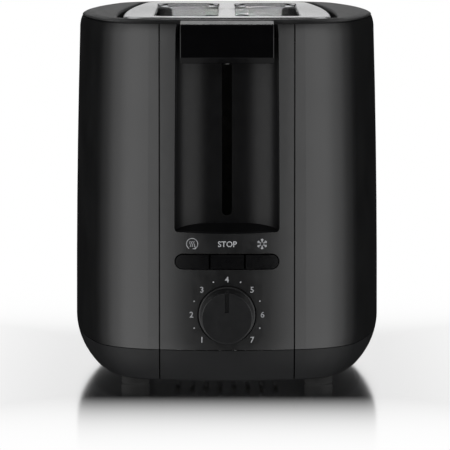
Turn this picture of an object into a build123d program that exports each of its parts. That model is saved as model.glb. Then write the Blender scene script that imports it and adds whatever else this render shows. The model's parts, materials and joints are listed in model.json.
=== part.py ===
from build123d import *
from math import sqrt
import os

# Pop-up toaster with two bread slots side by side.
# Millimetres. +Z is up, the control end faces -Y, the origin is the middle of the footprint on the table.

# ---- Driving dimensions -----------------------------------------------------------------------------------

HALF_WIDTH = 88.2
HALF_LENGTH = 143.0
# Plan outlines are ovals of tangent arcs: half width, half length, then end, corner and side radius.
BODY = (HALF_WIDTH, HALF_LENGTH, 150.0, 44.0, 390.0)
# The top plate's opening is widest near the front and tapers towards the back. Each half has its own arcs,
# with half length measured from the widest line.
OPENING_WIDEST = -60.0
OPENING_HALF = 62.6
OPENING_FRONT = (OPENING_HALF, 65.5, 200.0, 22.0, 800.0)
OPENING_REAR = (OPENING_HALF, 187.0, 110.0, 26.0, 1400.0)

WALL = 2.5
BASE_BOTTOM = 6.5
SEAM = 25.3
SHELL_TOP = 205.8
BELLY = 32.6
R_BELLY = 36.7

PANEL_HALF = 37.5
GROOVE = 0.7
SEAM_GAP = 0.4

# Bread slots
SLOT_X = 23.2
SLOT_WIDTH = 36.0
SLOT_FRONT, SLOT_BACK = -98.5, 82.5
SLOT_MID = (SLOT_FRONT + SLOT_BACK) / 2
SLOT_LENGTH = SLOT_BACK - SLOT_FRONT
R_SLOT = 7.0

# Top rim and top plate
LEDGE_WIDTH = 8.2
LEDGE_TOP = 200.0
PLATE_GAP = 3.2
PLATE_TOP = 208.9
SHEET = 0.8
PLATE_ROLL = 3.0
SLOT_ROLL = 2.0
LIP_BOTTOM = 205.9
RIM_TOP = 208.4
SKIRT_BOTTOM = 196.5
TONGUE_WIDTH = 20.6
TONGUE_BOTTOM = 190.0

# Lever channel in the front panel
CHANNEL_HALF = 29.4
CHANNEL_FLAT = 8.0
CHANNEL_DEPTH = 16.0
CHANNEL_LINER = 1.6
CHANNEL_FLOOR = 90.2
CHANNEL_RAMP = 4.8
STEM_SLOT = 5.4
STEM_SLOT_BOTTOM = 99.2
STEM_SLOT_TOP = 199.0

# Lever and carriage
TRAVEL = 82.0
LEVER_HALF = 25.8
LEVER_TOP, LEVER_BOTTOM = 208.2, 185.2
LEVER_FRONT = -HALF_LENGTH - 15.0
STEM_TOP, STEM_BOTTOM = 195.5, 184.5
STEM_THICK = 2.5
BRACKET_FRONT, BRACKET_BACK = -106.6, -105.4
LIFTER_TOP = 134.0
ROD_X, ROD_Y, R_ROD = -14.0, -112.0, 2.5
SPRING_X, SPRING_Y, R_SPRING = 14.0, -112.0, 3.5
SPRING_TOP, SPRING_BOTTOM = 194.0, 152.0
MAGNET_TOP = 62.0

# Controls
BUTTON_Z = 74.7
BUTTON_BAR_HALF, BUTTON_BAR_HEIGHT = 29.1, 8.9
BUTTON_CLEARANCE = 0.6
BUTTON_SPLITS = (-9.6, 9.9)
BUTTON_TRAVEL = 1.2
DIAL_Z = 45.2
R_KNOB_SKIRT, R_KNOB_BACK, R_KNOB_FACE = 15.6, 14.9, 14.2
R_KNOB_WELL = 16.4
KNOB_SEAT = -HALF_LENGTH + 1.8
KNOB_FACE = -HALF_LENGTH - 18.5
R_SHAFT = 3.0
BOARD_FRONT, BOARD_BACK = -124.0, -122.4
BOARD_LOW, BOARD_HIGH, BOARD_HALF = 36.0, 98.0, 40.0
BOARD_SCREW_X = 33.0

# Chassis
CHASSIS_FRONT, CHASSIS_BACK = -101.5, 85.5
CHASSIS_SHEET = 1.0
CHASSIS_HALF = 56.0
CHASSIS_LOW, CHASSIS_HIGH = 35.0, 197.0
REFLECTOR_X = 52.0
HEATER_X = 46.0
HEATER_LOW, HEATER_HIGH = 54.0, 190.0
MICA = 0.6
RIBBON = 0.3
GUIDE_OUT, GUIDE_IN = 39.4, 7.0
GUIDE_LOW, GUIDE_HIGH = 50.0, 195.0
GUIDE_RAILS = (68.0, 176.0)
GUIDE_TRAVEL = 5.0

# Crumb tray, feet, fasteners, cord inlet
TRAY_HALF = 35.0
TRAY_FLOOR, TRAY_TOP = 28.0, 31.6
TRAY_FRONT = -98.0
TRAY_FACE_LOW, TRAY_FACE_HIGH = 27.0, 36.0
FOOT_X, FOOT_FRONT, FOOT_BACK, R_FOOT = 52.0, -89.0, 72.0, 8.0
BOSS_X, BOSS_FRONT, BOSS_BACK = 46.0, -108.0, 92.0
R_SCREW, R_SCREW_HEAD = 1.7, 3.6
GLAND_X, GLAND_Z, R_GLAND_BORE, R_GLAND = 24.0, 52.0, 3.6, 5.4
GLAND_FACE = HALF_LENGTH + 0.8

# The knob sticks out further than the rear, so the middle of the footprint is ahead of the body's middle.
BODY_SHIFT = -(KNOB_FACE + GLAND_FACE) / 2

# ---- The oval outline -------------------------------------------------------------------------------------



def arc_centres(outline):
    """Centres of the front end arc, the front right corner arc and the right side arc."""
    half_width, half_length, r_end, r_corner, r_side = outline
    end, side = Vector(0, r_end - half_length), Vector(half_width - r_side, 0)
    apart = side - end
    from_end, from_side = r_end - r_corner, r_side - r_corner
    along = (from_end**2 - from_side**2 + apart.length**2) / (2 * apart.length)
    across = sqrt(from_end**2 - along**2)
    unit = apart.normalized()
    return end, end + unit * along + Vector(-unit.Y, unit.X) * across, side


def quarter_arcs(outline, inset):
    """Start, middle and end of each arc of an outline moved inwards, from the front's middle to the right side."""
    half_width, half_length, r_end, r_corner, r_side = outline
    end_centre, corner_centre, side_centre = arc_centres(outline)
    to_corner = (corner_centre - end_centre).normalized()
    from_side = (corner_centre - side_centre).normalized()
    front = Vector(0, inset - half_length)
    right = Vector(half_width - inset, 0)
    end = end_centre + to_corner * (r_end - inset)
    side = side_centre + from_side * (r_side - inset)
    corner = corner_centre + (to_corner + from_side).normalized() * (r_corner - inset)
    end_mid = end_centre + (to_corner + Vector(0, -1)).normalized() * (r_end - inset)
    side_mid = side_centre + (from_side + Vector(1, 0)).normalized() * (r_side - inset)
    return [(front, end_mid, end), (end, corner, side), (side, side_mid, right)]


def closed_edges(front, rear, inset, middle):
    """Arcs of a closed outline whose front and rear parts meet on the line y = middle."""
    edges = []
    for mirror_x, mirror_y, outline in ((1, 1, front), (1, -1, rear), (-1, -1, rear), (-1, 1, front)):
        arcs = [
            [Vector(p.X * mirror_x, p.Y * mirror_y + middle) for p in arc] for arc in quarter_arcs(outline, inset)
        ]
        if mirror_x != mirror_y:
            arcs = [arc[::-1] for arc in arcs[::-1]]
        edges += [ThreePointArc(*arc) for arc in arcs]
    return edges


def oval_edges(inset):
    """Arcs of the toaster's outline moved inwards by inset."""
    return closed_edges(BODY, BODY, inset, 0)


def prism(edges, low, high):
    """Solid under closed edges, from z = low to z = high."""
    return extrude(Pos(0, 0, low) * make_face(Wire(edges)), high - low, dir=(0, 0, 1))


def oval(inset, low, high):
    """Solid under the toaster's outline moved inwards by inset."""
    return prism(oval_edges(inset), low, high)


def opening(inset, low, high):
    """Solid under the outline of the top plate's opening moved inwards by inset."""
    return prism(closed_edges(OPENING_FRONT, OPENING_REAR, inset, OPENING_WIDEST), low, high)


def ring(profile_edges):
    """Sweeps a closed profile, drawn as (inset, z), round the outline."""
    face = make_face(Plane.YZ * Pos(-HALF_LENGTH, 0, 0) * Wire(profile_edges))
    return sweep(face, path=Wire(oval_edges(0)))


def polyline(*points):
    """Edges through points, open."""
    return [Line(a, b) for a, b in zip(points, points[1:])]


def box(x0, x1, y0, y1, z0, z1):
    """Box from its limits."""
    return Pos((x0 + x1) / 2, (y0 + y1) / 2, (z0 + z1) / 2) * Box(x1 - x0, y1 - y0, z1 - z0)


def rod(radius, start, end):
    """Round bar between two points."""
    a, b = Vector(*start), Vector(*end)
    return extrude(Plane(origin=a, z_dir=b - a) * Circle(radius), (b - a).length)


def rounded_slot(width, length, radius, low, high, x, y):
    """Vertical prism with rounded corners, centred on x and y."""
    return extrude(Pos(x, y, low) * RectangleRounded(width, length, radius), high - low)


# ---- Casing -----------------------------------------------------------------------------------------------


def belly_inset(z):
    """How far the outside has drawn in at height z, below the belly."""
    return R_BELLY - sqrt(R_BELLY**2 - (BELLY - z) ** 2)


SHOULDER_Z, SHOULDER_INSET = 198.0, 2.45
SHELL_EDGE_INSET = 3.8


def shell_ring(outer, inner, low, high):
    """Casing wall between two offsets from the outside and two heights."""
    flank = (SHOULDER_INSET / 4 + outer, (BELLY + SHOULDER_Z) / 2)
    back_flank = (SHOULDER_INSET / 4 + inner, (BELLY + SHOULDER_Z) / 2)
    low_mid = (low + BELLY) / 2
    edge_mid = SHOULDER_INSET + 0.35

    def skin(offset, mid):
        bottom = (belly_inset(low) + offset, low)
        return [
            ThreePointArc(bottom, (belly_inset(low_mid) + offset, low_mid), (offset, BELLY)),
            ThreePointArc((offset, BELLY), mid, (SHOULDER_INSET + offset, SHOULDER_Z)),
            ThreePointArc(
                (SHOULDER_INSET + offset, SHOULDER_Z),
                (edge_mid + offset, (SHOULDER_Z + high) / 2 + 0.6),
                (SHELL_EDGE_INSET + offset, high),
            ),
        ]

    outside, inside = skin(outer, flank), skin(inner, back_flank)
    ends = [
        Line(outside[0] @ 0, inside[0] @ 0),
        Line(outside[2] @ 1, inside[2] @ 1),
    ]
    return ring(outside + inside + ends)


def panel_lips(ends):
    """Thin strip behind the groove on both edges of an end panel, so that no light shows through."""
    root = shell_ring(WALL - 0.5, WALL + 1.5, SEAM + 2, SHELL_TOP)
    behind = shell_ring(WALL + 0.1, WALL + 1.5, SEAM + 2, SHELL_TOP)
    y0, y1 = sorted((ends * 90, ends * 160))
    edge = PANEL_HALF - GROOVE / 2
    lips = None
    for side in (-1, 1):
        for strip, start, stop in ((root, edge - 3.5, edge), (behind, edge - 1, edge + 4)):
            x0, x1 = sorted((side * start, side * stop))
            piece = strip & box(x0, x1, y0, y1, 0, SKIRT_BOTTOM - 1)
            lips = piece if lips is None else lips + piece
    return lips


def side_shells():
    """Left and right painted shells, from groove to groove."""
    wall = shell_ring(0, WALL, SEAM, SHELL_TOP)
    clear = PANEL_HALF + GROOVE / 2
    right = wall & box(clear, 100, -160, 160, 0, 220)
    left = wall & box(-100, -clear, -160, 160, 0, 220)
    return left, right


def end_panel(ends):
    """Plain centre panel at the front (ends = -1) or the back (ends = 1)."""
    wall = shell_ring(0, WALL, SEAM, SHELL_TOP)
    half = PANEL_HALF - GROOVE / 2
    y0, y1 = sorted((ends * 100, ends * 160))
    return (wall & box(-half, half, y0, y1, 0, 220)) + panel_lips(ends)


def channel_section(grow):
    """Plan section of the lever channel: a flat strip at the back that sweeps round to the sides, open in front."""
    half, flat = CHANNEL_HALF + grow, CHANNEL_FLAT
    front, mouth, back = -HALF_LENGTH - 8, -HALF_LENGTH + 1.0, -HALF_LENGTH + CHANNEL_DEPTH + grow
    right = [
        Line((0, back), (flat, back)),
        EllipticalCenterArc((flat, mouth), half - flat, back - mouth, start_angle=0, arc_size=90),
        Line((half, mouth), (half, front)),
        Line((half, front), (0, front)),
    ]
    left = [edge.mirror(Plane.YZ) for edge in right]
    return make_face(Wire(right + left))


def channel_cut(grow):
    """The lever channel's hollow, grown by the liner's thickness on its sides and back, with a sloping floor."""
    floor = CHANNEL_FLOOR - grow
    hollow = extrude(Pos(0, 0, floor - 2) * channel_section(grow), SHELL_TOP + 10 - floor, dir=(0, 0, 1))
    slope = CHANNEL_RAMP / CHANNEL_DEPTH
    front, back = -HALF_LENGTH - 8, -HALF_LENGTH + CHANNEL_DEPTH + 8
    low, high = floor + slope * -8, floor + slope * (CHANNEL_DEPTH + 8)
    under = Polyline((front, low), (back, high), (back, low - 20), (front, low - 20), close=True)
    hollow -= extrude(Plane.YZ * make_face(under), 60, both=True)
    window_width = 2 * (CHANNEL_HALF + grow)
    window_height = 140
    window = RectangleRounded(window_width, window_height, 4 + grow)
    middle = floor + window_height / 2
    return hollow & extrude(Plane.XZ * Pos(0, middle, 100) * window, 80)


def lever_channel():
    """Black trough behind the opening of the front panel, with the slot for the carriage's stem."""
    behind = oval(WALL + 0.15, CHANNEL_FLOOR - 10, LEDGE_TOP - 2.4) - shell_ring(-1, WALL + 0.15, SEAM, SHELL_TOP)
    channel = (channel_cut(CHANNEL_LINER) - channel_cut(0)) & behind
    half = STEM_SLOT / 2
    y0, y1 = -HALF_LENGTH + 4, -HALF_LENGTH + CHANNEL_DEPTH + CHANNEL_LINER + 1
    channel -= box(-half, half, y0, y1, STEM_SLOT_BOTTOM + half, STEM_SLOT_TOP)
    return channel - disc(half, y0, y1, 0, STEM_SLOT_BOTTOM + half)


def pill(half, height, y0, y1, z, x=0.0):
    """Prism along Y with half-round ends."""
    shape = SlotOverall(2 * half, height)
    return extrude(Plane.XZ * Pos(x, z, -y1) * shape, y1 - y0)


def disc(radius, y0, y1, x, z):
    """Round prism along Y."""
    return extrude(Plane.XZ * Pos(x, z, -y1) * Circle(radius), y1 - y0)


def front_panel():
    """Front centre panel with the openings for the lever and the buttons, the knob well and inner bosses."""
    panel = end_panel(-1) - channel_cut(0)
    inside = oval(WALL + 0.1, SEAM + 1, SHELL_TOP)
    # The knob's seat and the frame round the buttons are thicker.
    panel += disc(R_KNOB_WELL + 2.5, -HALF_LENGTH + 1.5, -HALF_LENGTH + 6, 0, DIAL_Z) & inside
    frame = pill(BUTTON_BAR_HALF + 2, BUTTON_BAR_HEIGHT + 4, -HALF_LENGTH + 1, -HALF_LENGTH + 8, BUTTON_Z)
    panel += frame & inside
    panel -= pill(BUTTON_BAR_HALF, BUTTON_BAR_HEIGHT, -HALF_LENGTH - 5, -HALF_LENGTH + 12, BUTTON_Z)
    panel -= disc(R_KNOB_WELL, -HALF_LENGTH - 5, KNOB_SEAT, 0, DIAL_Z)
    panel -= disc(R_SHAFT + 0.5, -HALF_LENGTH - 5, -HALF_LENGTH + 12, 0, DIAL_Z)
    # Standoffs for the control board.
    for x in (-BOARD_SCREW_X, BOARD_SCREW_X):
        for z in (BOARD_LOW + 5, BOARD_HIGH - 5):
            standoff = rod(3.0, (x, -HALF_LENGTH + 2, z), (x, BOARD_FRONT, z))
            panel += standoff & oval(1.0, SEAM + 1, SHELL_TOP)
    return panel


def rear_panel():
    """Rear centre panel with the crumb tray's opening and the cord inlet's hole."""
    panel = end_panel(1)
    half = TRAY_HALF + 0.6
    panel -= box(-half, half, 100, 160, 20, TRAY_FACE_HIGH + 0.5)
    panel -= Pos(GLAND_X, 130, GLAND_Z) * Rot(90, 0, 0) * Cylinder(R_GLAND + 0.1, 60)
    return panel


def base_solid():
    """The whole base: curved skirt and floor, before it is cut into the pan and the two aprons."""
    mid = (SEAM - SEAM_GAP + 7.5) / 2
    top = SEAM - SEAM_GAP
    low = 7.5

    def skin(offset):
        return ThreePointArc(
            (belly_inset(top) + offset, top),
            (belly_inset(mid) + offset, mid),
            (belly_inset(low) + offset, low),
        )

    outside, inside = skin(0), skin(WALL)
    toe = (belly_inset(low) + 3, BASE_BOTTOM)
    edges = [
        outside,
        Line(outside @ 1, toe),
        Line(toe, (toe[0] + 4, BASE_BOTTOM)),
        Line((toe[0] + 4, BASE_BOTTOM), (toe[0] + 4, BASE_BOTTOM + WALL)),
        Line((toe[0] + 4, BASE_BOTTOM + WALL), inside @ 1),
        inside,
        Line(outside @ 0, inside @ 0),
    ]
    floor = oval(toe[0] + 2, BASE_BOTTOM, BASE_BOTTOM + WALL)
    return ring(edges) + floor


def base_parts():
    """Base pan with bosses, tray rails, vents and screw holes, and the front and rear aprons."""
    whole = base_solid()
    half = PANEL_HALF - GROOVE / 2
    clear = PANEL_HALF + GROOVE / 2
    aprons = []
    pan = whole
    for ends in (-1, 1):
        inner, outer = ends * 122.0, ends * 160.0
        y0, y1 = sorted((inner, outer))
        aprons.append(whole & box(-half, half, y0, y1, 0, 60))
        y0, y1 = sorted((inner - ends * SEAM_GAP, outer))
        pan -= box(-clear, clear, y0, y1, 0, 60)
    floor = BASE_BOTTOM + WALL
    for x in (-BOSS_X, BOSS_X):
        for y in (BOSS_FRONT, BOSS_BACK):
            pan += rod(5.0, (x, y, floor - 1), (x, y, CHASSIS_LOW))
    for side in (-1, 1):
        wall = sorted((side * (TRAY_HALF + 1.5), side * (TRAY_HALF + 3.5)))
        ledge = sorted((side * (TRAY_HALF - 2), side * (TRAY_HALF + 3.5)))
        pan += box(*wall, TRAY_FRONT, 118, floor - 1, TRAY_TOP + 1)
        pan += box(*ledge, TRAY_FRONT, 118, TRAY_FLOOR - 1.7, TRAY_FLOOR - 0.2)
    for x in range(-28, 29, 8):
        for y in (-60, 0, 60):
            pan -= rounded_slot(3, 40, 1.4, 0, 12, x, y)
    for x in (-BOSS_X, BOSS_X):
        for y in (BOSS_FRONT, BOSS_BACK):
            pan -= rod(R_SCREW + 0.1, (x, y, 0), (x, y, CHASSIS_LOW + 1))
            pan -= rod(R_SCREW_HEAD + 0.4, (x, y, 0), (x, y, floor))
    for x, y in foot_places().values():
        pan -= rod(2.1, (x, y, 0), (x, y, floor + 1))
    return pan, aprons[0], aprons[1]


def foot_places():
    """Where each foot stands."""
    return {
        "foot_left_front": (-FOOT_X, FOOT_FRONT),
        "foot_right_front": (FOOT_X, FOOT_FRONT),
        "foot_left_rear": (-FOOT_X, FOOT_BACK),
        "foot_right_rear": (FOOT_X, FOOT_BACK),
    }


def foot(x, y):
    """Rubber foot with a stem that plugs into the base."""
    pad = rod(R_FOOT, (x, y, 0), (x, y, BASE_BOTTOM))
    pad = fillet(pad.edges().sort_by(Axis.Z)[0], 1.2)
    return pad + rod(2.0, (x, y, BASE_BOTTOM - 1), (x, y, BASE_BOTTOM + WALL + 2))


def top_rim():
    """Black ring on a shadow gap above the shells, with the ledge that carries the top plate."""
    lip = (SHELL_EDGE_INSET + 0.2, SHELL_TOP + 0.9)
    shoulder = (6.2, 207.8)
    crown = (10.0, RIM_TOP)
    edges = [
        ThreePointArc(lip, (4.9, 207.35), shoulder),
        ThreePointArc(shoulder, (8.0, RIM_TOP - 0.15), crown),
    ]
    edges += polyline(
        crown,
        (10.0, SHELL_TOP),
        (8.6, SHELL_TOP),
        (8.6, SKIRT_BOTTOM),
        (6.6, SKIRT_BOTTOM),
        (6.6, SHELL_TOP),
        (SHELL_EDGE_INSET + 1.2, SHELL_TOP),
        (SHELL_EDGE_INSET + 1.2, SHELL_TOP + 0.8),
        lip,
    )
    rim = ring(edges) + oval(9.9, SHELL_TOP, RIM_TOP)
    rim += opening(-2.0, LEDGE_TOP - 2, SHELL_TOP)
    rim -= opening(0, LEDGE_TOP, RIM_TOP + 1)
    rim -= opening(LEDGE_WIDTH, LEDGE_TOP - 3, LEDGE_TOP + 1)
    top_face = rim.faces().filter_by(Plane.XY).sort_by(Axis.Z)[-1]
    rim = fillet(top_face.inner_wires()[0].edges(), 1.6)
    # The skirt stops beside the lever channel.
    gap = CHANNEL_HALF + 3.5
    return rim - box(-gap, gap, -160, -HALF_LENGTH + 16, 190, SHELL_TOP)


# ---- Top plate --------------------------------------------------------------------------------------------


def plate_block(inset, top, roll, slot_grow, slot_roll):
    """Block with both slots cut through and all top edges rolled."""
    block = opening(inset, LEDGE_TOP, top)
    block = fillet(block.edges().group_by(Axis.Z)[-1], roll)
    for x in (-SLOT_X, SLOT_X):
        cut = rounded_slot(
            SLOT_WIDTH + 2 * slot_grow,
            SLOT_LENGTH + 2 * slot_grow,
            R_SLOT + slot_grow,
            LEDGE_TOP - 1,
            top + 1,
            x,
            SLOT_MID,
        )
        block -= cut
    reach = SLOT_LENGTH / 2 + slot_grow + 1
    mouth = [
        e
        for e in block.edges().group_by(Axis.Z)[-1]
        if abs(e.center().Y - SLOT_MID) < reach
        and abs(abs(e.center().X) - SLOT_X) < SLOT_WIDTH / 2 + slot_grow + 1
    ]
    return fillet(mouth, slot_roll)


def top_plate():
    """Pressed steel plate: rolled rim, rolled slot lips and a tongue at each end of each slot."""
    outer = plate_block(PLATE_GAP, PLATE_TOP, PLATE_ROLL, 0, SLOT_ROLL)
    inner = plate_block(PLATE_GAP + SHEET, PLATE_TOP - SHEET, PLATE_ROLL - SHEET, SHEET, SLOT_ROLL - SHEET)
    plate = outer - inner - opening(PLATE_GAP + 2, LEDGE_TOP - 1, LIP_BOTTOM)
    for x in (-SLOT_X, SLOT_X):
        for y0, y1 in ((SLOT_FRONT - SHEET, SLOT_FRONT), (SLOT_BACK, SLOT_BACK + SHEET)):
            plate += tongue(x, y0, y1)
    return plate


def tongue(x, y0, y1):
    """Bread guide tongue, bent down from the middle of a slot's end lip with a round notch each side."""
    half, flare = TONGUE_WIDTH / 2, 3.0
    top, bottom = LIP_BOTTOM + 0.6, TONGUE_BOTTOM
    right = [
        Line((0, top), (half + flare - 2.6, top)),
        Line((half + flare - 2.6, top), (half + flare - 2.6, LIP_BOTTOM)),
        ThreePointArc(
            (half + flare - 2.6, LIP_BOTTOM),
            (half + 0.12, LIP_BOTTOM - 0.28),
            (half, LIP_BOTTOM - 1.0),
        ),
        Line((half, LIP_BOTTOM - 1.0), (half - 1, bottom + 2)),
        ThreePointArc((half - 1, bottom + 2), (half - 1.6, bottom + 0.6), (half - 3, bottom)),
        Line((half - 3, bottom), (0, bottom)),
    ]
    left = [edge.mirror(Plane.YZ) for edge in right]
    face = Pos(x, y1, 0) * (Plane.XZ * make_face(Wire(right + left)))
    return extrude(face, y1 - y0, dir=(0, -1, 0))


# ---- Lever, carriage and lifters --------------------------------------------------------------------------


def lever_handle():
    """Hollow push-down lever with a bevelled face."""
    front, body_face = LEVER_FRONT, -HALF_LENGTH - 0.4
    shape = Polyline(
        (body_face, LEVER_BOTTOM),
        (front + 3.2, LEVER_BOTTOM),
        (front, LEVER_BOTTOM + 3.4),
        (front, LEVER_BOTTOM + 16.7),
        (front + 1.6, LEVER_TOP - 1.5),
        (body_face, LEVER_TOP),
        close=True,
    )
    block = extrude(Plane.YZ * make_face(shape), LEVER_HALF, both=True)
    outline = block.edges().filter_by(lambda e: e.center().Y < body_face - 0.1)
    ends = [e for e in outline if abs(abs(e.center().X) - LEVER_HALF) < 0.01]
    creases = [e for e in outline if abs(e.center().X) < 0.01]
    block = fillet(creases + ends, 0.6)
    back = -HALF_LENGTH + 5
    neck = box(-LEVER_HALF + 0.6, LEVER_HALF - 0.6, body_face - 1, back, LEVER_BOTTOM + 0.6, 204.4)
    lever = block + neck
    hollow = box(-LEVER_HALF + 3, LEVER_HALF - 3, front + 4, back + 1, LEVER_BOTTOM + 3, 202.0)
    web = box(-4.0, 4.0, front + 3.9, back - 0.5, LEVER_BOTTOM + 2, 203.0)
    socket = box(-STEM_THICK / 2, STEM_THICK / 2, front + 8, back + 1, STEM_BOTTOM - 1, STEM_TOP)
    lever = lever - hollow + web
    # The stem's foot comes out below the neck, so the lever is open there.
    return lever - socket


def carriage_bracket():
    """Sheet bracket: the stem through the front panel, the back plate, and ears for the bush and spring."""
    half = STEM_THICK / 2
    stem = box(-half, half, LEVER_FRONT + 8, BRACKET_BACK, STEM_BOTTOM, STEM_TOP)
    plate = box(-30, 30, BRACKET_FRONT, BRACKET_BACK, LIFTER_TOP - 8, LIFTER_TOP + 12)
    neck = box(-19, 19, BRACKET_FRONT, BRACKET_BACK, LIFTER_TOP + 11, STEM_TOP)
    bracket = stem + plate + neck
    for z in (158.8, 190.0):
        ear = box(ROD_X - 6, ROD_X + 6, ROD_Y - 6, BRACKET_BACK, z, z + 1.2)
        bracket += ear - rod(R_ROD + 0.4, (ROD_X, ROD_Y, z - 1), (ROD_X, ROD_Y, z + 3))
    spring_ear = box(SPRING_X - 4, SPRING_X + 4, SPRING_Y - 4.5, BRACKET_BACK, SPRING_BOTTOM - 1.2, SPRING_BOTTOM)
    arm = box(9, 19, -119, BRACKET_BACK, MAGNET_TOP + TRAVEL + 2.2, MAGNET_TOP + TRAVEL + 3.4)
    return bracket + spring_ear + arm


def carriage_bush():
    """Plastic bush that runs on the guide rod."""
    bush = rod(5.0, (ROD_X, ROD_Y, 160.0), (ROD_X, ROD_Y, 190.0))
    return bush - rod(R_ROD + 0.06, (ROD_X, ROD_Y, 159), (ROD_X, ROD_Y, 191))


def armature():
    """Steel plate that the magnet holds while the bread toasts."""
    top = MAGNET_TOP + TRAVEL + 2.2
    return box(8, 20, -120, -108, top - 2.0, top)


def bread_lifter(x):
    """Toothed strip that carries the bread, with a stiffening rib under it."""
    strip = box(x - 5, x + 5, BRACKET_BACK, SLOT_BACK - 1, LIFTER_TOP - 1, LIFTER_TOP)
    rib = box(x - 0.5, x + 0.5, BRACKET_BACK, SLOT_BACK + 8, LIFTER_TOP - 8, LIFTER_TOP - 0.5)
    tab = box(x - 5, x + 5, BRACKET_BACK, BRACKET_BACK + 1, LIFTER_TOP - 8, LIFTER_TOP + 8)
    lifter = strip + rib + tab
    pitch = 14.0
    count = int((SLOT_BACK - SLOT_FRONT - 20) // pitch)
    for step in range(count + 1):
        y = SLOT_FRONT + 10 + step * pitch
        lifter += box(x - 3.5, x + 3.5, y - 0.6, y + 0.6, LIFTER_TOP - 0.5, LIFTER_TOP + 1.6)
    return lifter


def return_spring():
    """Envelope of the spring that pulls the carriage up."""
    coil = rod(R_SPRING, (SPRING_X, SPRING_Y, SPRING_BOTTOM), (SPRING_X, SPRING_Y, SPRING_TOP))
    return coil - rod(R_SPRING - 1.0, (SPRING_X, SPRING_Y, SPRING_BOTTOM - 1), (SPRING_X, SPRING_Y, SPRING_TOP + 1))


# ---- Chassis, heaters and guides --------------------------------------------------------------------------


def chassis_plate(y, outward):
    """End plate with lifter slots, guide slots, and flanges bent away from the slots."""
    y0, y1 = sorted((y, y + outward * CHASSIS_SHEET))
    plate = box(-CHASSIS_HALF, CHASSIS_HALF, y0, y1, CHASSIS_LOW, CHASSIS_HIGH)
    f0, f1 = sorted((y, y + outward * 12))
    plate += box(-CHASSIS_HALF, CHASSIS_HALF, f0, f1, CHASSIS_LOW, CHASSIS_LOW + CHASSIS_SHEET)
    boss_y = BOSS_FRONT if outward < 0 else BOSS_BACK
    for x in (-BOSS_X, BOSS_X):
        plate -= rod(R_SCREW + 0.1, (x, boss_y, CHASSIS_LOW - 1), (x, boss_y, CHASSIS_LOW + 3))
    for x in (-SLOT_X, SLOT_X):
        plate -= box(x - 6.5, x + 6.5, y0 - 1, y1 + 1, LIFTER_TOP - TRAVEL - 9.5, LIFTER_TOP + 9.5)
    for side in (-1, 1):
        for z in GUIDE_RAILS:
            for at, reach in ((GUIDE_OUT + 1.6, -GUIDE_TRAVEL), (GUIDE_IN - 1.6, GUIDE_TRAVEL)):
                low, high = sorted((at, at + reach))
                x0, x1 = sorted((side * (low - 1.5), side * (high + 1.5)))
                plate -= box(x0, x1, y0 - 1, y1 + 1, z - 1.5, z + 1.5)
    return plate


def chassis_front_plate():
    """Front end plate, with a top flange that holds the guide rod and the spring."""
    plate = chassis_plate(CHASSIS_FRONT, -1)
    shelf = box(-24, 24, ROD_Y - 7, CHASSIS_FRONT, CHASSIS_HIGH - CHASSIS_SHEET, CHASSIS_HIGH)
    hole = rod(R_ROD + 0.05, (ROD_X, ROD_Y, CHASSIS_LOW - 1), (ROD_X, ROD_Y, CHASSIS_HIGH + 1))
    slot = box(-STEM_THICK, STEM_THICK, ROD_Y - 8, ROD_Y - 3, CHASSIS_HIGH - 2, CHASSIS_HIGH + 1)
    return plate + shelf - slot - hole


def reflector(side):
    """Side sheet behind an outer heater, flanged at top and bottom."""
    x0, x1 = sorted((side * REFLECTOR_X, side * (REFLECTOR_X + 0.6)))
    y0, y1 = CHASSIS_FRONT + 0.1, CHASSIS_BACK - 0.1
    sheet = box(x0, x1, y0, y1, CHASSIS_LOW + 17, CHASSIS_HIGH - 1)
    for z in (CHASSIS_LOW + 17, CHASSIS_HIGH - 1.6):
        f0, f1 = sorted((side * (REFLECTOR_X - 3.5), side * (REFLECTOR_X + 0.6)))
        sheet += box(f0, f1, y0, y1, z, z + 0.6)
    for step in range(6):
        y = -75 + step * 28
        bead = box(x0 - 0.6, x1 + 0.6, y - 1.5, y + 1.5, CHASSIS_LOW + 30, CHASSIS_HIGH - 20)
        sheet += bead
    return sheet


def heater_board(x):
    """Mica card with notched edges."""
    y0, y1 = CHASSIS_FRONT + 0.1, CHASSIS_BACK - 0.1
    card = box(x - MICA / 2, x + MICA / 2, y0, y1, HEATER_LOW, HEATER_HIGH)
    for step in range(17):
        z = HEATER_LOW + 4 + step * 8
        for y in (y0, y1):
            card -= box(x - 1, x + 1, y - 1.0, y + 1.0, z - 1.2, z + 1.2)
    return card


def heater_winding(x, faces):
    """Nichrome ribbon on a mica card: one flat run in each notch on each heated face, joined at its ends."""
    runs = []
    thick = MICA / 2 + 0.02
    for face in faces:
        x0, x1 = sorted((x + face * thick, x + face * (thick + RIBBON)))
        low = HEATER_LOW + 4
        for step in range(17):
            z = low + step * 8
            run = box(x0, x1, SLOT_FRONT + 3.2, SLOT_BACK - 3.2, z - 0.9, z + 0.9)
            runs.append(run)
        for step in range(16):
            z = low + step * 8
            y = SLOT_FRONT + 3.2 if step % 2 else SLOT_BACK - 5.0
            runs.append(box(x0, x1, y, y + 1.8, z, z + 8))
    winding = runs[0]
    winding += runs[1:]
    return winding


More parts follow.
